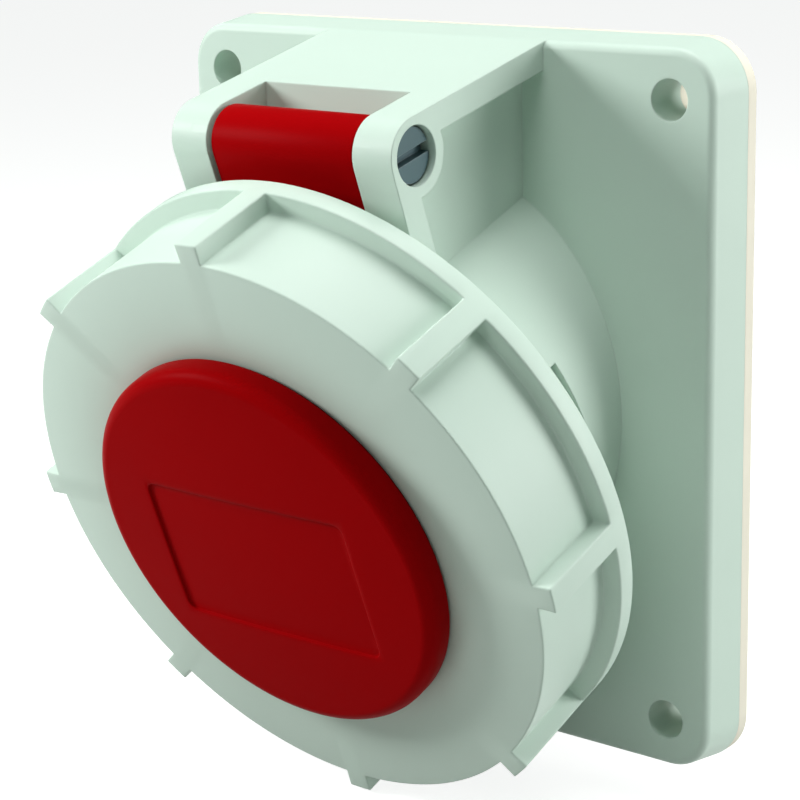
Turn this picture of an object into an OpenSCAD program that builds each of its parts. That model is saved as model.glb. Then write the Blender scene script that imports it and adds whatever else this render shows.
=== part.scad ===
// Industrial panel socket with a sprung lid and a bayonet locking ring.
// Millimetres. +Z is up, the socket faces -Y, and y = 0 is the mounting plane behind the gasket.
// The origin is the centre of the four fixing holes.

/* [Flange] */
// distance between the fixing holes across the flange
fix_dx = 77; // [74:0.5:112]
// distance between the fixing holes up the flange
fix_dz = 85; // [80:0.5:122]
// diameter of the fixing holes
fix_hole_d = 5.5; // [4.2:0.1:6.6]
// distance from the centre of a fixing hole to the flange's edge
hole_edge = 7.5; // [6.5:0.1:12]
// thickness of the flange at its edge
flange_t = 7; // [6:0.5:10]
// thickness of the flange's front plate, which is hollow behind
flange_skin = 3; // [2.2:0.1:4]
// diameter of the solid pads round the fixing holes
pad_d = 12; // [10:0.5:16]
// how much smaller the front outline is than the back one, on each side
flange_draft = 0.95; // [0.2:0.05:1.5]
// radius of the flange's outer corners
flange_corner_r = 7; // [4:0.5:10]
// radius of the rounded front edge
flange_edge_r = 1.2; // [0.4:0.1:2]
// thickness of the gasket
gasket_t = 2; // [1:0.5:3]
// width of the gasket's band
gasket_band = 4.5; // [3:0.5:6]

/* [Socket axis] */
// downward tilt of the socket's axis
tilt = 20; // [10:1:25]
// drop of the axis below the flange's centre, at the flange's front face
axis_drop = 1.1; // [0:0.1:4]

/* [Neck and collar] */
// outer diameter of the neck
neck_d = 62.6; // [58:0.2:66]
// wall of the neck
neck_wall = 2.6; // [2:0.1:3.2]
// depth of the shallow recess on each side of the neck
recess_depth = 1; // [0.4:0.1:1.4]
// distance along the axis from the flange's front face to the start of that recess
recess_from = 7.2; // [5:0.2:10]
// length of that recess along the axis
recess_l = 12; // [6:0.5:13]
// half angle of that recess round the neck
recess_half_angle = 25; // [15:1:30]
// width of the keyway inside the collar
keyway_w = 7; // [4:0.5:9]
// depth of the keyway into the neck's wall
keyway_depth = 1.3; // [0.6:0.1:1.5]
// wall of the short tube behind the flange
rear_wall = 2.8; // [2:0.1:4]
// how far behind the axis' start the rear tube ends
rear_l = 18.5; // [17:0.5:24]
// distance of the carrier's shoulder behind the axis' start
shoulder_back = 12; // [11.5:0.5:14]

/* [Bayonet] */
// distance along the axis from the flange's front face to the ring's rear face
ring_rear = 20.3; // [18:0.1:24]
// thickness of the ring's rear rim and of its hooks
rim_t = 2.9; // [2:0.1:4]
// length of the lugs on the collar along the axis
lug_t = 3.9; // [3:0.1:5]
// half angle of a lug round the collar
lug_half_angle = 11; // [8:1:13]
// half angle of a hook round the ring
hook_half_angle = 10; // [6:1:12]
// turn of the ring from its open stop to locked
lock_turn = 40; // [32:1:45]
// radial overlap of a hook and a lug
hook_overlap = 1.6; // [1:0.1:2]
// gap between a locked hook and its lug
lug_gap = 0.4; // [0.3:0.1:0.8]

/* [Ring] */
// thickness of the ring's front annulus
annulus_t = 2.85; // [2:0.05:4]
// wall of the ring
ring_wall = 2.8; // [2:0.1:4]
// height of the hooks above the ring's inner wall
hook_h = 2.6; // [2:0.1:3]
// how far the ribs stand out of the wall
rib_h = 2.7; // [1.5:0.1:4]
// width of a rib
rib_w = 3.7; // [2.5:0.1:5]
// number of ribs
rib_count = 8; // [6:1:12]
// radius of the ring's front edge
ring_edge_r = 0.6; // [0.3:0.1:1.2]

/* [Lid] */
// diameter of the lid's raised dome
dome_d = 56; // [48:0.5:60]
// height of the dome's side above its underside
dome_h = 4.15; // [3:0.05:6]
// radius of the dome's edge
dome_edge_r = 2; // [1:0.1:3]
// rise of the dome's crown
crown_h = 0.5; // [0.2:0.1:1]
// how far the dome stands over the ring's opening
dome_overhang = 0.7; // [0.5:0.1:1]
// thickness of the lid's shell
lid_wall = 2.5; // [2:0.1:3]
// thickness of the lid's skirt
skirt_t = 3; // [2.4:0.1:4]
// gap between the skirt and the neck
skirt_gap = 1.7; // [1.5:0.1:2.5]
// length of the collar that the skirt covers
skirt_cover = 2.6; // [1.5:0.1:3]
// width of the plain field sunk into the dome
field_w = 34.2; // [20:0.2:36]
// height of that field
field_h = 21.4; // [12:0.2:24]
// drop of the field's centre below the dome's centre
field_drop = 2.2; // [0:0.1:4]
// corner radius of the field
field_r = 1.5; // [0.5:0.1:3]
// depth of the field below the dome's edge
field_depth = 0.35; // [0.2:0.05:0.6]

/* [Seals] */
// thickness of the lid's sealing ring
seal_t = 2.1; // [1.5:0.1:3]
// width of the lid's sealing ring
seal_w = 4.6; // [3:0.1:5]
// thickness of the carrier's O-ring
oring_d = 1.2; // [0.8:0.1:1.4]

/* [Hinge] */
// radius of the ears round the pin
ear_r = 5; // [4.5:0.1:6]
// rise of the pin above the ring's rim
pin_lift = 1.1; // [0.8:0.1:3]
// gap between the ears and the ring's rear face
ear_gap = 2.8; // [2.6:0.1:4]
// diameter of the pin's shank
pin_d = 4; // [3:0.1:4.4]
// diameter of the pin's head
pin_head_d = 7.2; // [6:0.1:7.4]
// thickness of the pin's head
pin_head_t = 3; // [2:0.1:3.4]
// how deep the head sits below the ear's face
pin_sink = 0.9; // [0.3:0.1:1.2]
// width of the screwdriver slot
pin_slot_w = 1.2; // [0.8:0.1:1.6]
// turn of the screwdriver slot above level
pin_slot_angle = 14; // [-90:1:90]
// half width of the slot between the ears
fork_half = 12.5; // [10:0.1:14]
// gap between the lid's arm and each ear
arm_gap = 0.4; // [0.3:0.05:0.6]
// thickness of the lid's arm
arm_t = 4; // [3:0.1:5]
// wire of the lid's spring
spring_wire = 0.9; // [0.6:0.1:1.1]
// turns of the lid's spring
spring_turns = 5; // [3:1:6]
// play of the spring in its chamber
spring_gap = 0.3; // [0.2:0.05:0.5]

/* [Hood] */
// half width of the hood
hood_half = 18.8; // [17:0.1:22]
// drop of the hood's top below the flange's top edge, at the flange's front face
hood_drop = 1; // [0.5:0.1:4]
// thickness of the hood's top plate
plate_t = 3.65; // [2.5:0.05:5]
// how far the hood's side walls stand back from its edge
side_recess = 3.55; // [2:0.05:4]
// thickness of the leg below each ear
leg_t = 3.9; // [3:0.1:5]
// radius of the boss round the pin's head
boss_r = 5.5; // [5:0.1:6]
// distance of the hood's inner back wall in front of the flange
back_wall_at = 20.3; // [18:0.1:22]
// thickness of that wall
back_wall_t = 2.4; // [1.6:0.1:3]

/* [Contacts] */
// diameter of the circle that the contacts stand on
contact_circle_d = 34; // [32:0.5:36]
// diameter of a line or neutral pin
line_pin_d = 5; // [4:0.1:5.4]
// diameter of the earth pin
earth_pin_d = 7; // [6:0.1:7.4]
// wall of a contact sleeve
sleeve_wall = 0.9; // [0.6:0.1:1]
// how far the carrier's face lies behind the collar's edge
carrier_recess = 6; // [5:0.5:9]
// gap for the plug's shroud between carrier and collar
shroud_gap = 3.4; // [2.8:0.1:3.6]
// length of a sleeve's terminal block
terminal_l = 14; // [11:0.5:16]
// length of the slits that let a sleeve spring
slit_l = 14; // [8:1:20]
// wire entry of a line or neutral terminal
wire_d = 3.6; // [2.5:0.1:4]
// diameter of a line terminal's clamping screw
clamp_screw_d = 3.5; // [3:0.1:4]
// diameter of the screws that join the carrier's halves
carrier_screw_d = 3; // [2.5:0.1:3.5]
// distance of those screws from the axis
carrier_screw_at = 5.5; // [4.5:0.1:6.5]
// depth of those screws in the front half
carrier_screw_grip = 12; // [8:0.5:16]

/* [Hidden] */
$fn = 96;

running_gap = 0.04;      // radial gap of a shaft in its bore
fit_gap = 0.1;           // gap between pieces that are fixed together
slide_gap = 0.25;        // axial gap between lid and ring
eps = 0.01;
far = 200;               // longer than anything in the part

light_grey = [0.80, 0.87, 0.83];
red = [0.62, 0.02, 0.03];
cream = [0.93, 0.90, 0.84];
slate = [0.20, 0.25, 0.29];
dark = [0.16, 0.17, 0.18];
rubber = [0.10, 0.10, 0.10];
brass = [0.78, 0.62, 0.32];
steel = [0.68, 0.70, 0.72];

flange_front = flange_t + gasket_t;         // distance of the flange's front face from the origin
flange_w = fix_dx + 2 * hole_edge;
flange_h = fix_dz + 2 * hole_edge;
band_inner_r = flange_corner_r - 2;         // corner radius of the hollow behind the flange

// Radii round the socket's axis, from the neck outwards.
neck_r = neck_d / 2;
bore_r = neck_r - neck_wall;
skirt_in_r = neck_r + skirt_gap;
skirt_r = skirt_in_r + skirt_t;
hook_in_r = skirt_r + 0.4;
lug_r = hook_in_r + hook_overlap;
ring_in_r = hook_in_r + hook_h;
ring_r = ring_in_r + ring_wall;
rim_r = ring_r + rib_h;
dome_r = dome_d / 2;
opening_r = dome_r - dome_overhang;
dome_neck_r = opening_r - 0.4;
carrier_r = bore_r - shroud_gap;

// Distances along the socket's axis, from the flange outwards.
rim_front = ring_rear + rim_t;
lug_from = rim_front + lug_gap;
lug_to = lug_from + lug_t;
skirt_end = lug_to + 0.5;
collar_front = skirt_end + skirt_cover;
lid_face = collar_front + 1;
lid_shoulder = lid_face + lid_wall;
ring_under = lid_shoulder + slide_gap;
ring_face = ring_under + annulus_t;
dome_under = ring_face + slide_gap;
dome_edge = dome_under + dome_h;
carrier_face = collar_front - carrier_recess;
shoulder = -shoulder_back;
carrier_flange_t = 4;
carrier_spigot = 4;      // length of the carrier that fits in the bore in front of the shoulder
carrier_ledge = 1.9;     // width of the shoulder that the carrier rests on
carrier_joint = shoulder - carrier_flange_t;
carrier_head_t = 2;      // thickness of the heads of the carrier's screws
ring_groove = 0.8;       // depth and width of the groove for the ring that locks the carrier
ring_groove_t = 1.6;
rear_end = -rear_l;

// Hinge pin in the plane of the socket's axis: along the axis and square to it.
pin_a = ring_rear - ear_gap - ear_r;
pin_u = rim_r + pin_lift;
pin_f = flange_front + pin_a * cos(tilt) + pin_u * sin(tilt);
pin_z = -axis_drop - pin_a * sin(tilt) + pin_u * cos(tilt);
arm_r = ear_r - 0.4;

// The hood's top runs from the flange's front face down to a tangent of the ears.
hood_top = flange_h / 2 - hood_drop;
pin_run = norm([pin_f - flange_front, hood_top - pin_z]);
hood_slope = atan2(hood_top - pin_z, pin_f - flange_front) - asin(ear_r / pin_run);
arm_half = fork_half - arm_gap;
head_bore_r = pin_head_d / 2 + 0.3;
head_seat = hood_half - pin_sink - pin_head_t;   // where the head rests, measured from the middle
pin_r = pin_d / 2;
pocket_top = flange_h / 2 - gasket_band - 1.5;

// The spring's coil lies round the pin in a chamber at the left end of the lid's arm.
spring_r = pin_r + 0.6 + spring_wire / 2;
spring_pitch = spring_wire * 1.3;
spring_l = spring_turns * spring_pitch;
spring_chamber_r = spring_r + spring_wire / 2 + spring_gap;
spring_chamber_l = spring_l + spring_wire + 2 * spring_gap;
spring_leg = head_seat - fork_half - 0.4;
spring_leg_angle = 200;     // where the coil's fixed leg enters the ear, seen from the pin

// Contacts: name order is L1, L2, L3, N, then the earth contact at six o'clock.
earth_angle = 270;
contact_step = 72;
line_angles = [for (k = [1:4]) earth_angle - contact_step * k];   // N, L1, L2, L3
contact_r = contact_circle_d / 2;
line_sleeve_r = line_pin_d / 2 + sleeve_wall;
earth_sleeve_r = earth_pin_d / 2 + sleeve_wall;
line_block_r = line_sleeve_r + 1.1;
earth_block_r = earth_sleeve_r + 0.9;
sleeve_front = carrier_face - 2.5;
block_front = carrier_joint - fit_gap;
block_back = block_front - terminal_l;
carrier_back_end = block_back + 1.5;
block_web = 2;           // solid web between a sleeve's pin bore and its wire entry
slit_w = 0.6;
clamp_at = terminal_l * 0.36;   // where the clamping screw crosses the terminal block
clip_t = 0.5;
clip_l = 8;
clip_gap = 0.25;         // room round a clip in its chamber

// Puts +Z on the socket's axis, with +Y square to it and upwards.
module on_axis() {
    translate([0, -flange_front, -axis_drop])
        rotate([90 + tilt, 0, 0])
            children();
}

// Extrudes a side view (forwards, up) across the part, between two distances from the middle.
module side(from, to) {
    translate([to, 0, 0])
        rotate([90, 0, -90])
            linear_extrude(to - from)
                children();
}

// Puts +Z on the hinge pin, to the right, with +X downwards.
module on_pin() {
    translate([0, -pin_f, pin_z])
        rotate([0, 90, 0])
            children();
}

// The same shape on both sides of the middle.
module both_sides() {
    children();
    mirror([1, 0, 0])
        children();
}

// Places a 2D shape drawn in (along the axis, square to it) into the side view.
module side_axis() {
    translate([flange_front, -axis_drop])
        rotate(-tilt)
            children();
}

module tube(r_out, r_in, from, to) {
    translate([0, 0, from])
        difference() {
            cylinder(r = r_out, h = to - from);
            translate([0, 0, -1])
                cylinder(r = r_in, h = to - from + 2);
        }
}

// A piece of a tube between two angles.
module sector(r_out, r_in, from, to, middle, half) {
    rotate([0, 0, middle - half])
        translate([0, 0, from])
            rotate_extrude(angle = 2 * half)
                translate([r_in, 0])
                    square([r_out - r_in, to - from]);
}

// ---- housing -----------------------------------------------------------------

// Section of the flange's edge: x outwards from the middle of the plate, y forwards from its back.
module edge_section(half) {
    lean = atan(flange_draft / flange_t);
    round_x = half - (flange_t - flange_edge_r) * tan(lean) - flange_edge_r / cos(lean);
    round_y = flange_t - flange_edge_r;
    polygon([[0, 0],
             [half, 0],
             [round_x + flange_edge_r * cos(lean), round_y + flange_edge_r * sin(lean)],
             [round_x, flange_t],
             [0, flange_t]]);
    intersection() {
        translate([round_x, round_y])
            circle(r = flange_edge_r);
        translate([0, 0])
            square([half, flange_t]);
    }
}

module flange_solid() {
    corner_x = flange_w / 2 - flange_corner_r;
    corner_z = flange_h / 2 - flange_corner_r;
    for (sx = [-1, 1], sz = [-1, 1])
        translate([sx * corner_x, -gasket_t, sz * corner_z])
            rotate([90, 0, 0])
                rotate_extrude()
                    edge_section(flange_corner_r);
    // bars that run up the flange, with the left and right edges
    both_sides()
        translate([0, -gasket_t, -corner_z])
            linear_extrude(2 * corner_z)
                mirror([0, 1])
                    edge_section(flange_w / 2);
    // bars that run across it, with the top and bottom edges
    for (up = [0, 1])
        mirror([0, 0, up])
            side(-corner_x, corner_x)
                translate([gasket_t, 0])
                    rotate(90)
                        mirror([0, 1])
                            edge_section(flange_h / 2);
}

module fixing_holes(from, to) {
    for (sx = [-1, 1], sz = [-1, 1])
        translate([sx * fix_dx / 2, -to, sz * fix_dz / 2])
            rotate([-90, 0, 0])
                cylinder(d = fix_hole_d, h = to - from);
}

// Region under the hood's top plane, in the side view.
module under_top(down) {
    translate([pin_f, pin_z])
        rotate(-hood_slope)
            translate([-far, ear_r - down - far])
                square([2 * far, far]);
}

module in_front_of_flange(to) {
    translate([flange_front - 1, -far])
        square([to - flange_front + 1, 2 * far]);
}

module above_axis(u) {
    side_axis()
        translate([-far, u])
            square([2 * far, far]);
}

module plate_2d(to) {
    difference() {
        intersection() {
            under_top(0);
            in_front_of_flange(to);
        }
        under_top(plate_t);
    }
}

module ear_2d() {
    plate_2d(pin_f);
    side_axis() {
        translate([pin_a, pin_u]) {
            circle(r = ear_r);
            circle(r = boss_r - 0.001);
        }
        translate([pin_a + ear_r - leg_t, bore_r - 6])
            square([leg_t, pin_u - bore_r + 6]);
    }
}

// Full side wall, from the flange to the leg and from the plate down into the neck.
module wall_2d() {
    intersection() {
        under_top(1);
        in_front_of_flange(pin_f + far);
        above_axis(bore_r - 6);
        side_axis()
            translate([-far, -far])
                square([far + pin_a + ear_r - 0.5, 2 * far]);
    }
}

module back_wall_2d() {
    intersection() {
        under_top(1);
        above_axis(bore_r - 1);
        translate([flange_front + back_wall_at - back_wall_t, -far])
            square([back_wall_t, 2 * far]);
    }
}

// Hollow behind the back wall, open through the flange and inside the gasket's band.
module hood_pocket_2d() {
    intersection() {
        under_top(plate_t);
        above_axis(bore_r - 1);
        translate([-1, pocket_top - far])
            square([flange_front + back_wall_at - back_wall_t + 1, far]);
    }
}

module hood() {
    side(-hood_half, hood_half)
        plate_2d(flange_front + back_wall_at);
    both_sides() {
        side(fork_half, hood_half)
            ear_2d();
        side(fork_half, hood_half - side_recess)
            wall_2d();
    }
    side(-fork_half - 1, fork_half + 1)
        back_wall_2d();
}

module neck_solid() {
    intersection() {
        on_axis()
            translate([0, 0, -rear_l])
                cylinder(r = neck_r, h = collar_front + rear_l);
        translate([-far, -far - gasket_t - 1, -far])
            cube([2 * far, far, 2 * far]);
    }
    on_axis()
        for (middle = [0, 180])
            sector(lug_r, neck_r - 1, lug_from, lug_to, middle, lug_half_angle);
}

// The tube behind the flange, kept behind the flange's front face.
module rear_tube() {
    intersection() {
        on_axis()
            translate([0, 0, rear_end])
                cylinder(r = bore_r + fit_gap + carrier_ledge + rear_wall, h = rear_l + collar_front);
        translate([-far, -flange_front + 1, -far])
            cube([2 * far, far, 2 * far]);
    }
}

module bore_cut() {
    on_axis() {
        translate([0, 0, rear_end - 1])
            cylinder(r = bore_r, h = collar_front + rear_l + 2);
        translate([0, 0, rear_end - 1])
            cylinder(r = bore_r + carrier_ledge, h = shoulder - rear_end + 1);
        translate([-keyway_w / 2, -bore_r - keyway_depth, shoulder + 6])
            cube([keyway_w, bore_r, far]);
        // groove for the ring that locks the carrier
        translate([0, 0, carrier_joint - ring_groove_t])
            cylinder(r = bore_r + carrier_ledge + ring_groove, h = ring_groove_t);
    }
}

module side_recesses() {
    on_axis()
        for (middle = [0, 180])
            sector(neck_r + 1, neck_r - recess_depth, recess_from, recess_from + recess_l,
                   middle, recess_half_angle);
}

module pin_cuts() {
    on_pin() {
        translate([0, 0, -far / 2])
            cylinder(r = pin_r + running_gap, h = far);
        for (flip = [0, 1])
            mirror([0, 0, flip])
                translate([0, 0, head_seat])
                    cylinder(r = head_bore_r, h = far);
        rotate([0, 0, spring_leg_angle])
            translate([spring_r, 0, -fork_half - spring_leg])
                cylinder(d = spring_wire + 0.2, h = spring_leg + 1, $fn = 24);
    }
}

module housing() {
    color(light_grey)
        difference() {
            union() {
                difference() {
                    flange_solid();
                    rotate([90, 0, 0])
                        linear_extrude(flange_front - flange_skin)
                            inside_band();
                }
                neck_solid();
                rear_tube();
                hood();
            }
            bore_cut();
            side_recesses();
            difference() {
                side(-fork_half, fork_half)
                    hood_pocket_2d();
                on_axis()
                    translate([0, 0, -far / 2])
                        cylinder(r = neck_r, h = far);
            }
            pin_cuts();
            fixing_holes(0, far / 2);
        }
}

module flange_gasket() {
    color(cream)
        difference() {
            rotate([90, 0, 0])
                linear_extrude(gasket_t)
                    rounded_plate(flange_w, flange_h, flange_corner_r);
            translate([0, 1, 0])
                rotate([90, 0, 0])
                    linear_extrude(gasket_t + 2)
                        inside_band();
            fixing_holes(-1, gasket_t + 1);
        }
}

// What the gasket and the flange's back leave open: all inside the band but the pads.
module inside_band() {
    difference() {
        rounded_plate(flange_w - 2 * gasket_band, flange_h - 2 * gasket_band, band_inner_r);
        for (sx = [-1, 1], sz = [-1, 1])
            translate([sx * fix_dx / 2, sz * fix_dz / 2])
                circle(d = pad_d);
    }
}

// Plate with rounded corners, as exact circles and squares.
module rounded_plate(w, h, r) {
    square([w, h - 2 * r], center = true);
    square([w - 2 * r, h], center = true);
    for (sx = [-1, 1], sz = [-1, 1])
        translate([sx * (w / 2 - r), sz * (h / 2 - r)])
            circle(r = r);
}

// ---- contacts ----------------------------------------------------------------

module at_contact(angle) {
    rotate([0, 0, angle])
        translate([contact_r, 0, 0])
            children();
}

module sleeve(angle, pin_dia, sleeve_r, block_r, wire, screw_dia) {
    color(brass)
        on_axis()
            at_contact(angle)
                difference() {
                    union() {
                        translate([0, 0, block_front - 1])
                            cylinder(r = sleeve_r, h = sleeve_front - block_front + 1);
                        translate([0, 0, block_back])
                            cylinder(r = block_r, h = terminal_l);
                    }
                    // pin bore, wire entry and the slits that let the sleeve spring
                    translate([0, 0, block_front + block_web])
                        cylinder(d = pin_dia + fit_gap, h = far);
                    translate([0, 0, block_back - 1])
                        cylinder(d = wire, h = terminal_l - block_web);
                    for (turn = [45, 135])
                        rotate([0, 0, turn])
                            translate([-block_r, -slit_w / 2, sleeve_front - slit_l])
                                cube([2 * block_r, slit_w, far]);
                    translate([0, 0, block_back + clamp_at])
                        rotate([0, 90, 0])
                            cylinder(d = screw_dia + fit_gap, h = far);
                }
}

module line_sleeve(index) {
    sleeve(line_angles[index], line_pin_d, line_sleeve_r, line_block_r, wire_d, clamp_screw_d);
}

module sleeve_n() {
    line_sleeve(0);
}

module sleeve_l1() {
    line_sleeve(1);
}

module sleeve_l2() {
    line_sleeve(2);
}

module sleeve_l3() {
    line_sleeve(3);
}

module sleeve_pe() {
    sleeve(earth_angle, earth_pin_d, earth_sleeve_r, earth_block_r, wire_d + 1, clamp_screw_d + 0.5);
}

module clip(angle, sleeve_r) {
    on_axis()
        at_contact(angle)
            difference() {
                tube(sleeve_r + 0.05 + clip_t, sleeve_r + 0.05, sleeve_front - 1 - clip_l, sleeve_front - 1);
                translate([0, -0.4, -far / 2])
                    cube([2 * sleeve_r, 0.8, far]);
            }
}

module sleeve_clips() {
    color(steel)
        for (angle = line_angles)
            clip(angle, line_sleeve_r);
}

module sleeve_clip_pe() {
    color(steel)
        clip(earth_angle, earth_sleeve_r);
}

// Clamping screw across a terminal block, with its head outwards.
module clamp_screw(angle, screw_dia, block_r, wire) {
    head_r = screw_dia / 2 + 0.7;
    head_from = block_r + 0.3;
    on_axis()
        at_contact(angle)
            translate([0, 0, block_back + clamp_at])
                rotate([0, 90, 0])
                    difference() {
                        union() {
                            translate([0, 0, wire / 2 - 0.6])
                                cylinder(d = screw_dia, h = head_from - wire / 2 + 1);
                            translate([0, 0, head_from])
                                cylinder(r = head_r, h = 2);
                        }
                        translate([-far / 2, -0.4, head_from + 1])
                            cube([far, 0.8, 2]);
                    }
}

module terminal_screws() {
    color(steel)
        for (angle = line_angles)
            clamp_screw(angle, clamp_screw_d, line_block_r, wire_d);
}

module terminal_screw_pe() {
    color(steel)
        clamp_screw(earth_angle, clamp_screw_d + 0.5, earth_block_r, wire_d + 1);
}

// Chamber of one contact in the front half of the carrier, with its entry in the face.
module sleeve_chamber(angle, pin_dia, sleeve_r) {
    at_contact(angle) {
        translate([0, 0, carrier_joint - 1])
            cylinder(d = pin_dia + 0.8, h = far);
        translate([0, 0, carrier_joint - 1])
            cylinder(r = sleeve_r + clip_t + clip_gap, h = sleeve_front + 0.3 - carrier_joint + 1);
    }
}

// Chamber of one terminal block in the rear half, with a way in for the screwdriver.
module block_chamber(angle, block_r, screw_dia) {
    at_contact(angle) {
        translate([0, 0, block_back - terminal_l])
            cylinder(r = block_r + fit_gap, h = 3 * terminal_l);
        translate([0, 0, block_back + clamp_at])
            rotate([0, 90, 0])
                cylinder(d = screw_dia + 2.4, h = far);
    }
}

module sleeve_chambers() {
    for (angle = line_angles)
        sleeve_chamber(angle, line_pin_d, line_sleeve_r);
    sleeve_chamber(earth_angle, earth_pin_d, earth_sleeve_r);
}

module block_chambers() {
    for (angle = line_angles)
        block_chamber(angle, line_block_r, clamp_screw_d);
    block_chamber(earth_angle, earth_block_r, clamp_screw_d + 0.5);
}

module carrier_screw_places() {
    for (sx = [-1, 1])
        translate([sx * carrier_screw_at, 0, 0])
            children();
}

module carrier_body() {
    color(dark)
        on_axis()
            difference() {
                union() {
                    translate([0, 0, carrier_joint])
                        cylinder(r = carrier_r, h = carrier_face - carrier_joint);
                    translate([0, 0, carrier_joint])
                        cylinder(r = bore_r - 2 * fit_gap, h = carrier_flange_t + carrier_spigot);
                    translate([0, 0, carrier_joint])
                        cylinder(r = bore_r + carrier_ledge - fit_gap, h = carrier_flange_t - fit_gap / 2);
                }
                sleeve_chambers();
                // groove of the O-ring
                tube(oring_at + oring_d / 2 + 0.05, oring_at - oring_d / 2 - 0.05,
                     shoulder - oring_d - 0.05, shoulder + 1);
                carrier_screw_places()
                    translate([0, 0, carrier_joint - 1])
                        cylinder(d = carrier_screw_d, h = carrier_screw_grip + 1);
            }
}

oring_at = bore_r + carrier_ledge / 2;

module carrier_seal() {
    color(rubber)
        on_axis()
            translate([0, 0, shoulder - oring_d / 2 - 0.02])
                rotate_extrude()
                    translate([oring_at, 0])
                        circle(d = oring_d, $fn = 24);
}

module carrier_back() {
    color(dark)
        on_axis()
            difference() {
                translate([0, 0, carrier_back_end])
                    cylinder(r = carrier_r, h = carrier_joint - carrier_back_end);
                block_chambers();
                carrier_screw_places() {
                    translate([0, 0, carrier_back_end - 1])
                        cylinder(d = carrier_screw_d + 0.4, h = far);
                    translate([0, 0, carrier_back_end - 1])
                        cylinder(r = carrier_screw_d, h = carrier_head_t + 2);
                }
            }
}

module carrier_ring() {
    color(dark)
        on_axis()
            difference() {
                tube(bore_r + carrier_ledge + ring_groove - 0.2, carrier_r + 0.4,
                     carrier_joint - ring_groove_t + fit_gap, carrier_joint - fit_gap / 2);
                // gap by which the ring is squeezed in
                translate([-keyway_w / 2, -far / 2, -far / 2])
                    cube([keyway_w, far / 2, far]);
            }
}

module carrier_screws() {
    head_from = carrier_back_end + 1 - fit_gap;
    color(steel)
        on_axis()
            carrier_screw_places()
                difference() {
                    union() {
                        translate([0, 0, head_from])
                            cylinder(d = carrier_screw_d - fit_gap,
                                     h = carrier_joint + carrier_screw_grip - 1 - head_from);
                        translate([0, 0, head_from - carrier_head_t + 1])
                            cylinder(r = carrier_screw_d - 2 * fit_gap, h = carrier_head_t);
                    }
                    for (turn = [0, 90])
                        rotate([0, 0, turn])
                            translate([-1.6, -0.35, head_from - carrier_head_t])
                                cube([3.2, 0.7, 2]);
                }
}

// ---- lid and ring ------------------------------------------------------------

seal_r = neck_r + 0.8;                        // outer radius of the sealing ring
seal_from = collar_front + 0.03;              // it rests on the collar's edge

// Section of the lid's round body: x from the axis, y along it.
module lid_section() {
    difference() {
        union() {
            translate([0, lid_face])
                square([dome_neck_r, dome_edge - dome_edge_r - lid_face]);
            translate([0, lid_face])
                square([skirt_r, lid_wall]);
            translate([skirt_in_r, skirt_end])
                square([skirt_t, lid_face - skirt_end + 1]);
            translate([0, dome_under])
                square([dome_r, dome_h - dome_edge_r]);
            translate([0, dome_under])
                square([dome_r - dome_edge_r, dome_h]);
            translate([dome_r - dome_edge_r, dome_edge - dome_edge_r])
                circle(r = dome_edge_r);
        }
        // hollow of the dome and groove of the seal
        translate([-1, lid_face - 1])
            square([dome_neck_r - lid_wall + 1, dome_edge - lid_wall - lid_face + 1]);
        translate([seal_r - seal_w - 0.05, lid_face - 1])
            square([seal_w + 0.1, seal_from + seal_t - lid_face + 1.05]);
        translate([-far, -far / 2])
            square([far, far]);
    }
}

// Low crown over the dome's flat top.
module crown() {
    cap_r = dome_r - dome_edge_r;
    ball_r = (cap_r * cap_r + crown_h * crown_h) / (2 * crown_h);
    translate([0, 0, dome_edge + crown_h - ball_r])
        rotate_extrude($fn = 192)
            intersection() {
                circle(r = ball_r, $fn = 2000);
                translate([0, ball_r - crown_h - 0.2])
                    square([cap_r, crown_h + 1]);
            }
}

module field_cut() {
    translate([0, -field_drop, dome_edge - field_depth])
        linear_extrude(crown_h + field_depth + 1)
            rounded_plate(field_w, field_h, field_r);
}

// Peg on the lid's shoulder that runs in the ring's slot and stops its turn.
peg_at = (dome_neck_r + skirt_r) / 2;
peg_r = 1.2;
peg_h = 1.1;
slot_end_angle = 2 * asin(peg_r / (2 * peg_at)) + 0.6;

module lid() {
    color(red)
        difference() {
            union() {
                on_axis() {
                    rotate_extrude()
                        lid_section();
                    crown();
                    rotate([0, 0, earth_angle])
                        translate([peg_at, 0, lid_shoulder - 0.5])
                            cylinder(r = peg_r, h = peg_h + 0.5);
                    // tongue that joins the skirt to the arm behind the ring
                    intersection() {
                        tube(skirt_r, skirt_in_r, pin_a + arm_r - arm_t, lid_face + 0.5);
                        translate([-arm_half, 0, 0])
                            cube([2 * arm_half, far, far]);
                    }
                }
                difference() {
                    side(-arm_half, arm_half)
                        side_axis() {
                            translate([pin_a, pin_u])
                                circle(r = arm_r);
                            translate([pin_a + arm_r - arm_t, neck_r - 5])
                                square([arm_t, pin_u - neck_r + 5]);
                        }
                    on_axis()
                        cylinder(r = skirt_in_r, h = far);
                }
            }
            on_axis()
                field_cut();
            on_pin()
                translate([0, 0, -far / 2])
                    cylinder(r = pin_r + running_gap, h = far);
            // chamber of the spring, open at the arm's left end
            on_pin()
                translate([0, 0, -arm_half - 1])
                    cylinder(r = spring_chamber_r, h = spring_chamber_l + 1);
        }
}

module lid_seal() {
    color(rubber)
        on_axis()
            tube(seal_r, seal_r - seal_w, seal_from, seal_from + seal_t);
}

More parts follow.
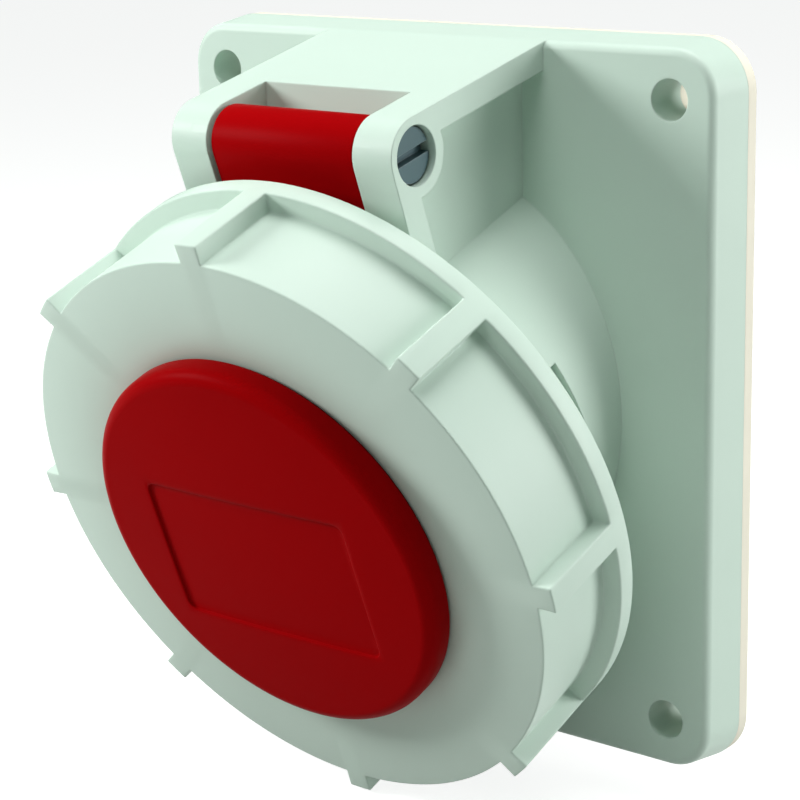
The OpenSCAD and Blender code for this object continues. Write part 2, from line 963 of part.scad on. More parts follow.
// Section of the ring's round body.
module ring_section() {
    difference() {
        union() {
            translate([ring_in_r, ring_rear])
                square([ring_wall, ring_face - ring_rear - ring_edge_r]);
            translate([ring_in_r, ring_rear])
                square([rim_r - ring_in_r, rim_t]);
            translate([opening_r, ring_under])
                square([ring_r - opening_r, annulus_t - ring_edge_r]);
            translate([opening_r, ring_under])
                square([ring_r - opening_r - ring_edge_r, annulus_t]);
            translate([ring_r - ring_edge_r, ring_face - ring_edge_r])
                circle(r = ring_edge_r, $fn = 32);
        }
    }
}

module bayonet_ring() {
    color(light_grey)
        on_axis()
            difference() {
                union() {
                    rotate_extrude()
                        ring_section();
                    for (k = [0:rib_count - 1])
                        rotate([0, 0, k * 360 / rib_count])
                            intersection() {
                                translate([ring_in_r + 0.5, -rib_w / 2, ring_rear])
                                    cube([far, rib_w, ring_face - ring_rear]);
                                cylinder(r = rim_r, h = far);
                            }
                    for (middle = [lock_turn, lock_turn + 180])
                        sector(ring_in_r + 0.5, hook_in_r, ring_rear, rim_front, middle, hook_half_angle);
                }
                // slot for the lid's peg
                rotate([0, 0, earth_angle - slot_end_angle])
                    translate([0, 0, ring_under - 1])
                        rotate_extrude(angle = lock_turn + 2 * slot_end_angle)
                            translate([peg_at - peg_r - 0.35, 0])
                                square([2 * peg_r + 0.7, peg_h + 1.2]);
            }
}

// ---- hinge -------------------------------------------------------------------

module hinge_pin() {
    far_end = head_seat + 2.2;
    color(slate)
        on_pin()
            difference() {
                union() {
                    translate([0, 0, head_seat + 0.02])
                        cylinder(d = pin_head_d, h = pin_head_t);
                    translate([0, 0, -far_end])
                        cylinder(r = pin_r, h = far_end + head_seat + 1);
                }
                rotate([0, 0, -pin_slot_angle])
                    translate([-pin_slot_w / 2, -pin_head_d, head_seat + pin_head_t - 1.2])
                        cube([pin_slot_w, 2 * pin_head_d, 2]);
            }
}

module pin_clip() {
    color(steel)
        on_pin()
            tube(head_bore_r - 0.3, pin_r + 0.02, -head_seat - 0.8, -head_seat - 0.02);
}

// Points of a circle that is carried along a coil, as one swept skin.
module coil(r, wire, turns, pitch, sides = 8, steps = 20) {
    count = turns * steps;
    points = [for (i = [0:count], j = [0:sides - 1])
                  let (turn = i * 360 / steps, around = j * 360 / sides,
                       out = r + wire / 2 * cos(around))
                      [out * cos(turn), out * sin(turn), i * pitch / steps + wire / 2 * sin(around)]];
    skin = [for (i = [0:count - 1], j = [0:sides - 1])
                let (a = i * sides + j, b = i * sides + (j + 1) % sides, c = b + sides, d = a + sides)
                    each [[a, b, c], [a, c, d]]];
    ends = [[for (j = [sides - 1:-1:0]) j],
            [for (j = [0:sides - 1]) count * sides + j]];
    polyhedron(points = points, faces = concat(skin, ends), convexity = 6);
}

module lid_spring() {
    from = -arm_half + spring_gap + spring_wire / 2;
    color(steel)
        on_pin()
            rotate([0, 0, spring_leg_angle]) {
                translate([0, 0, from])
                    coil(spring_r, spring_wire, spring_turns, spring_pitch);
                // leg that is held in the left ear
                translate([spring_r, 0, -fork_half - spring_leg + 0.2])
                    cylinder(d = spring_wire * 0.98, h = from + fork_half + spring_leg - 0.2, $fn = 16);
            }
}

housing();
flange_gasket();
carrier_body();
carrier_back();
carrier_seal();
carrier_ring();
carrier_screws();
sleeve_l1();
sleeve_l2();
sleeve_l3();
sleeve_n();
sleeve_pe();
sleeve_clips();
sleeve_clip_pe();
terminal_screws();
terminal_screw_pe();
hinge_pin();
pin_clip();
lid_spring();
lid();
lid_seal();
bayonet_ring();
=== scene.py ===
import logging
import math
from dataclasses import dataclass
from enum import Enum
from typing import Iterable, Sequence

import bmesh
import bpy
from mathutils import Matrix, Vector


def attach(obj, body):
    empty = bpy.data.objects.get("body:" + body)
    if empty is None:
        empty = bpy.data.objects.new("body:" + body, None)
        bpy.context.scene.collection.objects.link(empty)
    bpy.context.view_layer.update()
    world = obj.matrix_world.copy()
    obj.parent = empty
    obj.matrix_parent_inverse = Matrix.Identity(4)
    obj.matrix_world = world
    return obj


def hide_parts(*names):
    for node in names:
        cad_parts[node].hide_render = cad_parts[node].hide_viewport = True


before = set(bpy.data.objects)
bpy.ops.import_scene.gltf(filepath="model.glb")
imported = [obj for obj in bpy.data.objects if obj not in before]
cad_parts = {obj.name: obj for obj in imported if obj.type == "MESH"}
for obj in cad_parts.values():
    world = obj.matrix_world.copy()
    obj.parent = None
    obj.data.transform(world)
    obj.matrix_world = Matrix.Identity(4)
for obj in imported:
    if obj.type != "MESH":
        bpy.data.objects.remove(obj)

log = logging.getLogger("panel_socket")
MM = 0.001
MIX_FIRST, MIX_SECOND, MIX_RESULT = 6, 7, 2


class Body(Enum):
    """The bodies that the pieces move with."""

    HOUSING = "housing"
    LID = "lid"
    RING = "ring"


class Slot(Enum):
    """The material slots that the finishes name."""

    HOUSING_GREY = "housing_grey"
    LID_RED = "lid_red"
    GASKET_CREAM = "gasket_cream"
    PIN_SLATE = "pin_slate"
    CARRIER_DARK = "carrier_dark"
    SEAL_BLACK = "seal_black"
    BRASS = "brass"
    STEEL = "steel"
    SPRING_STEEL = "spring_steel"


# ---------------------------------------------------------------------------
# Shader node groups and finishes
# ---------------------------------------------------------------------------

class Tree:
    """A node tree with short ways to add and join nodes."""

    def __init__(self, tree: bpy.types.NodeTree) -> None:
        """Keeps the tree that the nodes go into.

        Args:
            tree: The node tree that the nodes go into.
        """
        self.tree = tree

    def add(self, kind: str, **settings: object) -> bpy.types.Node:
        """Adds a node.

        Args:
            kind: The node's type name.
            settings: Attributes, or input values when the name is an input socket's.

        Returns:
            The new node.
        """
        node = self.tree.nodes.new(kind)
        for name, value in settings.items():
            label = name.replace("_", " ")
            if label in node.inputs:
                node.inputs[label].default_value = value
            elif name in node.inputs:
                node.inputs[name].default_value = value
            else:
                setattr(node, name, value)
        return node

    def join(self, source: bpy.types.NodeSocket, target: bpy.types.NodeSocket) -> None:
        """Links an output socket to an input socket.

        Args:
            source: The output socket.
            target: The input socket.
        """
        self.tree.links.new(source, target)

    def math(self, operation: str, first: object, second: object = 0.0) -> bpy.types.NodeSocket:
        """Adds a Math node.

        Args:
            operation: Name of the operation.
            first: A socket or a number.
            second: A socket or a number.

        Returns:
            The node's output socket.
        """
        node = self.tree.nodes.new("ShaderNodeMath")
        node.operation = operation
        for socket, value in zip(node.inputs, (first, second)):
            if isinstance(value, bpy.types.NodeSocket):
                self.join(value, socket)
            else:
                socket.default_value = value
        return node.outputs[0]


class SharedGroup:
    """A shader node group that several finishes place with their own values."""

    name = "group"
    inputs: dict[str, float] = {}
    outputs: tuple[tuple[str, str], ...] = ()
    _built: bpy.types.NodeTree | None = None

    @classmethod
    def tree(cls) -> bpy.types.NodeTree:
        """Returns the group's tree, which is built the first time.

        Returns:
            The group's tree.
        """
        if cls._built is None:
            group = bpy.data.node_groups.new(cls.name, "ShaderNodeTree")
            for label, value in cls.inputs.items():
                socket = group.interface.new_socket(label, in_out="INPUT", socket_type="NodeSocketFloat")
                socket.default_value = value
            for label, kind in cls.outputs:
                group.interface.new_socket(label, in_out="OUTPUT", socket_type=kind)
            nodes = Tree(group)
            entry = nodes.add("NodeGroupInput")
            end = nodes.add("NodeGroupOutput")
            cls.fill(nodes, entry, end)
            cls._built = group
        return cls._built

    @classmethod
    def fill(cls, nodes: Tree, entry: bpy.types.Node, end: bpy.types.Node) -> None:
        """Adds the group's nodes between its input and output nodes.

        Args:
            nodes: The group's tree.
            entry: The group's input node.
            end: The group's output node.
        """
        raise NotImplementedError

    @classmethod
    def place(cls, nodes: Tree, **values: float) -> bpy.types.Node:
        """Places the group in a material.

        Args:
            nodes: The material's tree.
            values: Input values by name, with _ for a space.

        Returns:
            The group node.
        """
        node = nodes.tree.nodes.new("ShaderNodeGroup")
        node.node_tree = cls.tree()
        for name, value in values.items():
            node.inputs[name.replace("_", " ")].default_value = value
        return node


class MouldedSkin(SharedGroup):
    """Fine spark-eroded grain and slow tone changes of a moulded plastic."""

    name = "moulded_skin"
    inputs = {"Grain Size": 0.25, "Flow Size": 22.0}
    outputs = (("Grain", "NodeSocketFloat"), ("Flow", "NodeSocketFloat"))

    @classmethod
    def fill(cls, nodes: Tree, entry: bpy.types.Node, end: bpy.types.Node) -> None:
        """Adds a fine noise for the grain and a slow one for the flow of the melt.

        Args:
            nodes: The group's tree.
            entry: The group's input node.
            end: The group's output node.
        """
        place = nodes.add("ShaderNodeTexCoord")
        for label, out, detail, rough in (("Grain Size", "Grain", 3.0, 0.6), ("Flow Size", "Flow", 2.0, 0.5)):
            scale = nodes.math("DIVIDE", 1000.0, entry.outputs[label])
            noise = nodes.add("ShaderNodeTexNoise", Detail=detail, Roughness=rough)
            nodes.join(place.outputs["Object"], noise.inputs["Vector"])
            nodes.join(scale, noise.inputs["Scale"])
            nodes.join(noise.outputs["Fac"], end.inputs[out])


class SoftEdges(SharedGroup):
    """Rounds every edge and inner corner in the shading, and masks the outer edges for a painted edge
    highlight.
    """

    name = "soft_edges"
    inputs = {"Radius": 0.3, "Wear Radius": 0.5}
    outputs = (("Normal", "NodeSocketVector"), ("Edge", "NodeSocketFloat"))
    normal_samples = 6
    mask_samples = 4
    mask_gain = 3.0

    @classmethod
    def fill(cls, nodes: Tree, entry: bpy.types.Node, end: bpy.types.Node) -> None:
        """Compares the surface's own normal with one that is taken over a small radius.

        Args:
            nodes: The group's tree.
            entry: The group's input node.
            end: The group's output node.
        """
        small = nodes.add("ShaderNodeBevel", samples=cls.normal_samples)
        nodes.join(nodes.math("MULTIPLY", entry.outputs["Radius"], MM), small.inputs["Radius"])
        nodes.join(small.outputs["Normal"], end.inputs["Normal"])
        wide = nodes.add("ShaderNodeBevel", samples=cls.mask_samples)
        nodes.join(nodes.math("MULTIPLY", entry.outputs["Wear Radius"], MM), wide.inputs["Radius"])
        shape = nodes.add("ShaderNodeNewGeometry")
        turn = nodes.add("ShaderNodeVectorMath", operation="DOT_PRODUCT")
        nodes.join(wide.outputs["Normal"], turn.inputs[0])
        nodes.join(shape.outputs["Normal"], turn.inputs[1])
        spread = nodes.math("SUBTRACT", 1.0, turn.outputs["Value"])
        nodes.join(nodes.math("MULTIPLY", spread, cls.mask_gain), end.inputs["Edge"])


@dataclass(frozen=True)
class MouldedPlastic:
    """A moulded plastic: its colour, the second tone of its flow, its grain, and a painted highlight along
    its edges.
    """

    name: str
    slot: Slot
    colour: tuple[float, float, float]
    tone: tuple[float, float, float]
    roughness: float = 0.42
    roughness_spread: float = 0.06
    grain_mm: float = 0.25
    grain_depth: float = 0.02
    grain_strength: float = 0.35
    flow_mm: float = 22.0
    edge_mm: float = 0.3
    # Painted highlight along the edges: how much white is mixed in, and how far its mask reaches.
    edge_light: float = 0.06
    highlight_reach: float = 1.6
    specular: float = 0.5
    gloss_tint: tuple[float, float, float] = (1.0, 1.0, 1.0)

    def build(self) -> bpy.types.Material:
        """Builds the material and returns it.

        Returns:
            The material.
        """
        material = bpy.data.materials.new(self.name)
        material.use_nodes = True
        nodes = Tree(material.node_tree)
        shader = nodes.tree.nodes["Principled BSDF"]
        skin = MouldedSkin.place(nodes, Grain_Size=self.grain_mm, Flow_Size=self.flow_mm)
        edges = SoftEdges.place(nodes, Radius=self.edge_mm, Wear_Radius=self.edge_mm * self.highlight_reach)
        flow = nodes.add("ShaderNodeMix", data_type="RGBA")
        flow.inputs[MIX_FIRST].default_value = (*self.colour, 1.0)
        flow.inputs[MIX_SECOND].default_value = (*self.tone, 1.0)
        nodes.join(skin.outputs["Flow"], flow.inputs[0])
        # Painted highlight: white is mixed into the colour along the edges, by the soft edges mask.
        lit = nodes.add("ShaderNodeMix", data_type="RGBA")
        lit.inputs[MIX_SECOND].default_value = (1.0, 1.0, 1.0, 1.0)
        nodes.join(nodes.math("MULTIPLY", edges.outputs["Edge"], self.edge_light), lit.inputs[0])
        nodes.join(flow.outputs[MIX_RESULT], lit.inputs[MIX_FIRST])
        nodes.join(lit.outputs[MIX_RESULT], shader.inputs["Base Color"])
        rough = nodes.math("MULTIPLY", skin.outputs["Grain"], self.roughness_spread)
        nodes.join(nodes.math("ADD", rough, self.roughness - self.roughness_spread / 2),
                   shader.inputs["Roughness"])
        bump = nodes.add("ShaderNodeBump", Strength=self.grain_strength, Distance=self.grain_depth * MM)
        nodes.join(skin.outputs["Grain"], bump.inputs["Height"])
        nodes.join(edges.outputs["Normal"], bump.inputs["Normal"])
        nodes.join(bump.outputs["Normal"], shader.inputs["Normal"])
        shader.inputs["Specular IOR Level"].default_value = self.specular
        shader.inputs["Specular Tint"].default_value = (*self.gloss_tint, 1.0)
        return material


@dataclass(frozen=True)
class TurnedMetal:
    """A turned or drawn metal with fine marks across its length."""

    name: str
    slot: Slot
    colour: tuple[float, float, float]
    roughness: float = 0.3
    roughness_spread: float = 0.2
    mark_mm: float = 0.15
    mark_depth: float = 0.01
    mark_strength: float = 0.3
    flow_mm: float = 3.0
    edge_mm: float = 0.08

    def build(self) -> bpy.types.Material:
        """Builds the material and returns it.

        Returns:
            The material.
        """
        material = bpy.data.materials.new(self.name)
        material.use_nodes = True
        nodes = Tree(material.node_tree)
        shader = nodes.tree.nodes["Principled BSDF"]
        shader.inputs["Base Color"].default_value = (*self.colour, 1.0)
        shader.inputs["Metallic"].default_value = 1.0
        skin = MouldedSkin.place(nodes, Grain_Size=self.mark_mm, Flow_Size=self.flow_mm)
        edges = SoftEdges.place(nodes, Radius=self.edge_mm, Wear_Radius=self.edge_mm * 2.0)
        rough = nodes.math("MULTIPLY", skin.outputs["Flow"], self.roughness_spread)
        nodes.join(nodes.math("ADD", rough, self.roughness - self.roughness_spread / 2),
                   shader.inputs["Roughness"])
        bump = nodes.add("ShaderNodeBump", Strength=self.mark_strength, Distance=self.mark_depth * MM)
        nodes.join(skin.outputs["Grain"], bump.inputs["Height"])
        nodes.join(edges.outputs["Normal"], bump.inputs["Normal"])
        nodes.join(bump.outputs["Normal"], shader.inputs["Normal"])
        return material


Finish = MouldedPlastic | TurnedMetal
_materials: dict[str, bpy.types.Material] = {}


def material_of(finish: Finish) -> bpy.types.Material:
    """Returns a finish's material, which is built the first time.

    Args:
        finish: The finish.

    Returns:
        The finish's material.
    """
    if finish.name not in _materials:
        _materials[finish.name] = finish.build()
    return _materials[finish.name]


GREY_PLASTIC = MouldedPlastic("grey_plastic", Slot.HOUSING_GREY, (0.60, 0.735, 0.645), (0.57, 0.70, 0.615),
                              specular=0.25)
RED_PLASTIC = MouldedPlastic("red_plastic", Slot.LID_RED, (0.335, 0.001, 0.002), (0.30, 0.001, 0.002),
                             roughness=0.36, edge_light=0.0, specular=0.008, gloss_tint=(1.0, 0.2, 0.35))
CREAM_FOAM = MouldedPlastic("cream_foam", Slot.GASKET_CREAM, (0.86, 0.82, 0.70), (0.80, 0.76, 0.64),
                            roughness=0.75, grain_mm=0.4, grain_depth=0.05, specular=0.2)
SLATE_PLASTIC = MouldedPlastic("slate_plastic", Slot.PIN_SLATE, (0.055, 0.115, 0.13), (0.045, 0.095, 0.11),
                               roughness=0.34, edge_mm=0.15, edge_light=0.10)
BLACK_PLASTIC = MouldedPlastic("black_plastic", Slot.CARRIER_DARK, (0.022, 0.022, 0.024), (0.03, 0.03, 0.031),
                               roughness=0.5, edge_light=0.02)
BLACK_RUBBER = MouldedPlastic("black_rubber", Slot.SEAL_BLACK, (0.014, 0.014, 0.014), (0.02, 0.02, 0.02),
                              roughness=0.6, edge_light=0.01)
CONTACT_BRASS = TurnedMetal("contact_brass", Slot.BRASS, (0.72, 0.53, 0.25))
ZINC_STEEL = TurnedMetal("zinc_steel", Slot.STEEL, (0.62, 0.63, 0.64), roughness=0.35)
SPRING_STEEL = TurnedMetal("spring_steel", Slot.SPRING_STEEL, (0.50, 0.50, 0.51), roughness=0.28)

NODE_FINISHES = {
    GREY_PLASTIC: ("housing", "bayonet_ring"),
    RED_PLASTIC: ("lid",),
    CREAM_FOAM: ("flange_gasket",),
    SLATE_PLASTIC: ("hinge_pin",),
    BLACK_PLASTIC: ("carrier_body", "carrier_back", "carrier_ring"),
    BLACK_RUBBER: ("carrier_seal", "lid_seal"),
    CONTACT_BRASS: ("sleeve_l1", "sleeve_l2", "sleeve_l3", "sleeve_n", "sleeve_pe"),
    ZINC_STEEL: ("terminal_screws", "terminal_screw_pe", "carrier_screws"),
    SPRING_STEEL: ("sleeve_clips", "sleeve_clip_pe", "pin_clip", "lid_spring"),
}


# ---------------------------------------------------------------------------
# Camera, floor and light
# ---------------------------------------------------------------------------

@dataclass(frozen=True)
class Lamp:
    """A soft round lamp that points at the object's middle."""

    name: str
    place: tuple[float, float, float]
    size: float
    watts: float
    colour: tuple[float, float, float] = (1.0, 1.0, 1.0)

    def build(self, aim: Vector) -> None:
        """Makes the lamp.

        Args:
            aim: The point that the lamp faces.
        """
        data = bpy.data.lights.new(self.name, "AREA")
        data.shape = "DISK"
        data.size = self.size
        data.energy = self.watts
        data.color = self.colour
        lamp = bpy.data.objects.new(self.name, data)
        lamp.location = self.place
        lamp.rotation_euler = (aim - Vector(self.place)).to_track_quat("-Z", "Y").to_euler()
        bpy.context.scene.collection.objects.link(lamp)


@dataclass
class Studio:
    """Camera, pale floor and soft lamps."""

    azimuth: float = 39.13
    elevation: float = 14.76
    roll: float = -1.41
    place: tuple[float, float, float] = (0.19393, -0.25607, 0.08011)
    lens: float = 102.07
    sensor: float = 36.0
    nearest: float = 0.01
    aim: tuple[float, float, float] = (0.0, -0.03, 0.0)
    floor_level: float = -0.0562
    floor_half: float = 6.0
    floor_colour: tuple[float, float, float] = (0.40, 0.41, 0.40)
    floor_roughness: float = 0.9
    floor_white: float = 0.85
    ambient: tuple[float, float, float] = (0.10, 0.127, 0.115)
    lamps: tuple[Lamp, ...] = (
        Lamp("lamp_top", (0.02, 0.02, 0.45), 0.35, 1.75),
        Lamp("lamp_left", (-0.30, -0.26, 0.16), 0.16, 1.35),
        Lamp("lamp_front", (0.05, -0.42, 0.42), 0.3, 0.6),
        Lamp("lamp_right", (0.42, 0.20, 0.10), 0.25, 1.55),
    )

    def build(self) -> None:
        """Makes the camera, the floor, the world and the lamps."""
        self.build_camera()
        self.build_floor()
        self.build_world()
        for lamp in self.lamps:
            lamp.build(Vector(self.aim))
        bpy.context.scene.view_settings.view_transform = "Standard"

    def build_camera(self) -> None:
        """Makes the camera, which looks from its place along the two angles."""
        azimuth, elevation = math.radians(self.azimuth), math.radians(self.elevation)
        back = Vector((math.sin(azimuth) * math.cos(elevation),
                       -math.cos(azimuth) * math.cos(elevation), math.sin(elevation)))
        right = Vector((math.cos(azimuth), math.sin(azimuth), 0.0))
        turn = Matrix((right, back.cross(right), back)).transposed().to_4x4()
        data = bpy.data.cameras.new("camera")
        data.lens = self.lens
        data.sensor_width = self.sensor
        data.clip_start = self.nearest
        camera = bpy.data.objects.new("camera", data)
        camera.matrix_world = (Matrix.Translation(self.place) @ turn
                               @ Matrix.Rotation(math.radians(self.roll), 4, "Z"))
        bpy.context.scene.collection.objects.link(camera)
        bpy.context.scene.camera = camera

    def build_floor(self) -> None:
        """Makes the pale floor, which shows white to the camera and keeps its shadows."""
        bm = bmesh.new()
        bmesh.ops.create_grid(bm, x_segments=1, y_segments=1, size=self.floor_half,
                              matrix=Matrix.Translation((0.0, 0.0, self.floor_level)))
        mesh = bpy.data.meshes.new("floor")
        bm.to_mesh(mesh)
        bm.free()
        floor = bpy.data.objects.new("floor", mesh)
        bpy.context.scene.collection.objects.link(floor)
        material = bpy.data.materials.new("pale_floor")
        material.use_nodes = True
        nodes = Tree(material.node_tree)
        shader = nodes.tree.nodes["Principled BSDF"]
        shader.inputs["Base Color"].default_value = (*self.floor_colour, 1.0)
        shader.inputs["Roughness"].default_value = self.floor_roughness
        shader.inputs["Emission Color"].default_value = (1.0, 1.0, 1.0, 1.0)
        path = nodes.add("ShaderNodeLightPath")
        seen = nodes.math("MAXIMUM", path.outputs["Is Camera Ray"], path.outputs["Is Glossy Ray"])
        nodes.join(nodes.math("MULTIPLY", seen, self.floor_white), shader.inputs["Emission Strength"])
        mesh.materials.append(material)

    def build_world(self) -> None:
        """Makes the even light from all sides, and a white backdrop behind the floor."""
        world = bpy.data.worlds.new("studio")
        bpy.context.scene.world = world
        world.use_nodes = True
        nodes = Tree(world.node_tree)
        nodes.tree.nodes.clear()
        path = nodes.add("ShaderNodeLightPath")
        even = nodes.add("ShaderNodeBackground", Color=(*self.ambient, 1.0), Strength=1.0)
        white = nodes.add("ShaderNodeBackground", Color=(1.0, 1.0, 1.0, 1.0), Strength=1.0)
        choose = nodes.add("ShaderNodeMixShader")
        nodes.join(path.outputs["Is Camera Ray"], choose.inputs[0])
        nodes.join(even.outputs[0], choose.inputs[1])
        nodes.join(white.outputs[0], choose.inputs[2])
        end = nodes.add("ShaderNodeOutputWorld")
        nodes.join(choose.outputs[0], end.inputs["Surface"])


# ---------------------------------------------------------------------------
# Modelling helpers
# ---------------------------------------------------------------------------

@dataclass(frozen=True)
class Axis:
    """A direction in the part that round pieces are built on, in millimetres."""

    origin: tuple[float, float, float]
    across: tuple[float, float, float]
    along: tuple[float, float, float]

    def matrix(self) -> Matrix:
        """Returns the matrix from the axis's own millimetres to the part's metres.

        Its Z runs along the axis, and its X across.

        Returns:
            The matrix.
        """
        x, z = Vector(self.across).normalized(), Vector(self.along).normalized()
        turn = Matrix((x, z.cross(x), z)).transposed().to_4x4()
        return Matrix.Scale(MM, 4) @ Matrix.Translation(self.origin) @ turn


TILT = math.radians(20.0)
SOCKET = Axis((0.0, -9.0, -1.1), (1.0, 0.0, 0.0), (0.0, -math.cos(TILT), -math.sin(TILT)))
HINGE = Axis((0.0, -36.342, 37.475), (0.0, 1.0, 0.0), (1.0, 0.0, 0.0))


def outline(bm: bmesh.types.BMesh, points: Iterable[tuple[float, float]], closed: bool = True) -> list:
    """Draws a wire through (distance from the axis, height along it).

    Args:
        bm: The mesh that gets the wire.
        points: The wire's corners.
        closed: Whether the last corner joins the first.

    Returns:
        The wire's vertices and edges.
    """
    verts = [bm.verts.new((r, 0.0, z)) for r, z in points]
    pairs = list(zip(verts, verts[1:]))
    if closed:
        pairs.append((verts[-1], verts[0]))
    return verts + [bm.edges.new(pair) for pair in pairs]


def verts_of(geometry: Iterable) -> list:
    """Returns the vertices among some geometry.

    Args:
        geometry: The geometry.

    Returns:
        The vertices.
    """
    return [item for item in geometry if isinstance(item, bmesh.types.BMVert)]


def everything(bm: bmesh.types.BMesh) -> list:
    """Returns all vertices, edges and faces of a mesh.

    Args:
        bm: The mesh.

    Returns:
        The vertices, edges and faces.
    """
    return bm.verts[:] + bm.edges[:] + bm.faces[:]


def turn_outline(bm: bmesh.types.BMesh, geometry: Sequence, degrees: float, steps: int) -> None:
    """Spins a wire round the Z axis.

    Args:
        bm: The mesh.
        geometry: The wire's vertices and edges.
        degrees: The angle of the spin.
        steps: Its number of steps.
    """
    bmesh.ops.spin(bm, geom=list(geometry), cent=(0, 0, 0), axis=(0, 0, 1), dvec=(0, 0, 0),
                   angle=math.radians(degrees), steps=steps, use_merge=degrees >= 360.0)


def sharp_edges(bm: bmesh.types.BMesh, degrees: float = 30.0) -> list:
    """Returns the edges whose two faces meet at more than an angle.

    Args:
        bm: The mesh.
        degrees: The angle above which an edge counts, in degrees.

    Returns:
        The edges.
    """
    return [edge for edge in bm.edges
            if len(edge.link_faces) == 2 and edge.calc_face_angle(0.0) > math.radians(degrees)]


def round_edges(bm: bmesh.types.BMesh, edges: Sequence, radius: float, segments: int = 3) -> None:
    """Rounds edges.

    Args:
        bm: The mesh.
        edges: The edges to round.
        radius: How far the rounding reaches from the edge.
        segments: Number of faces across the rounding.
    """
    bmesh.ops.bevel(bm, geom=list(edges), offset=radius, offset_type="OFFSET", affect="EDGES",
                    segments=segments, profile=0.5, material=-1, clamp_overlap=True)


def round_corners(bm: bmesh.types.BMesh, verts: Sequence, radius: float, segments: int) -> None:
    """Rounds the corners of a wire or a flat face by a distance along its sides.

    Args:
        bm: The mesh.
        verts: The corners.
        radius: Distance along the sides.
        segments: Number of steps in the rounding.
    """
    bmesh.ops.bevel(bm, geom=list(verts), offset=radius, offset_type="OFFSET", affect="VERTICES",
                    segments=segments, profile=0.5, material=-1)


def close_up(bm: bmesh.types.BMesh) -> None:
    """Merges doubles, fills what is open and turns every face outwards.

    Args:
        bm: The mesh.
    """
    bmesh.ops.remove_doubles(bm, verts=bm.verts, dist=0.002)
    open_edges = [edge for edge in bm.edges if len(edge.link_faces) == 1]
    if open_edges:
        bmesh.ops.holes_fill(bm, edges=open_edges, sides=0)
    bmesh.ops.recalc_face_normals(bm, faces=bm.faces)


def push(bm: bmesh.types.BMesh, faces: Sequence, way: tuple[float, float, float], leave: bool = True) -> list:
    """Extrudes faces along a way.

    Args:
        bm: The mesh.
        faces: The faces to extrude.
        way: Where the new faces go.
        leave: Whether the old faces stay, to close the far side.

    Returns:
        The vertices that moved.
    """
    moved = verts_of(bmesh.ops.extrude_face_region(bm, geom=list(faces))["geom"])
    bmesh.ops.translate(bm, verts=moved, vec=way)
    if not leave:
        bmesh.ops.delete(bm, geom=list(faces), context="FACES_ONLY")
    return moved


def take_in(bm: bmesh.types.BMesh, part: bmesh.types.BMesh) -> None:
    """Adds a part to a mesh and frees the part.

    Args:
        bm: The mesh that grows.
        part: The mesh that is taken in, and then freed.
    """
    mesh = bpy.data.meshes.new("part")
    part.to_mesh(mesh)
    part.free()
    bm.from_mesh(mesh)
    bpy.data.meshes.remove(mesh)


def finish_piece(name: str, bm: bmesh.types.BMesh, axis: Axis | None, finish: Finish, body: Body,
                 replaced: Sequence[str] = (), smooth_degrees: float = 35.0) -> bpy.types.Object:
    """Makes an object of a mesh and hands it to its body.

    Args:
        name: The object's name.
        bm: Its mesh, which is freed.
        axis: The axis that it was built on, or None when it already is in the part's metres.
        finish: Its finish.
        body: The body that it moves with.
        replaced: CAD nodes that it stands for.
        smooth_degrees: Edges below this angle are shaded smooth.

    Returns:
        The object.
    """
    if axis is not None:
        bm.transform(axis.matrix())
    for face in bm.faces:
        face.smooth = True
    for edge in sharp_edges(bm, smooth_degrees):
        edge.smooth = False
    mesh = bpy.data.meshes.new(name)
    bm.to_mesh(mesh)
    bm.free()
    mesh.materials.append(material_of(finish))
    piece = bpy.data.objects.new(name, mesh)
    bpy.context.scene.collection.objects.link(piece)
    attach(piece, body.value)
    if replaced:
        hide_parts(*replaced)
    log.info("%s: %d faces, %s", name, len(mesh.polygons), finish.name)
    return piece


# ---------------------------------------------------------------------------
# Locking ring
# ---------------------------------------------------------------------------

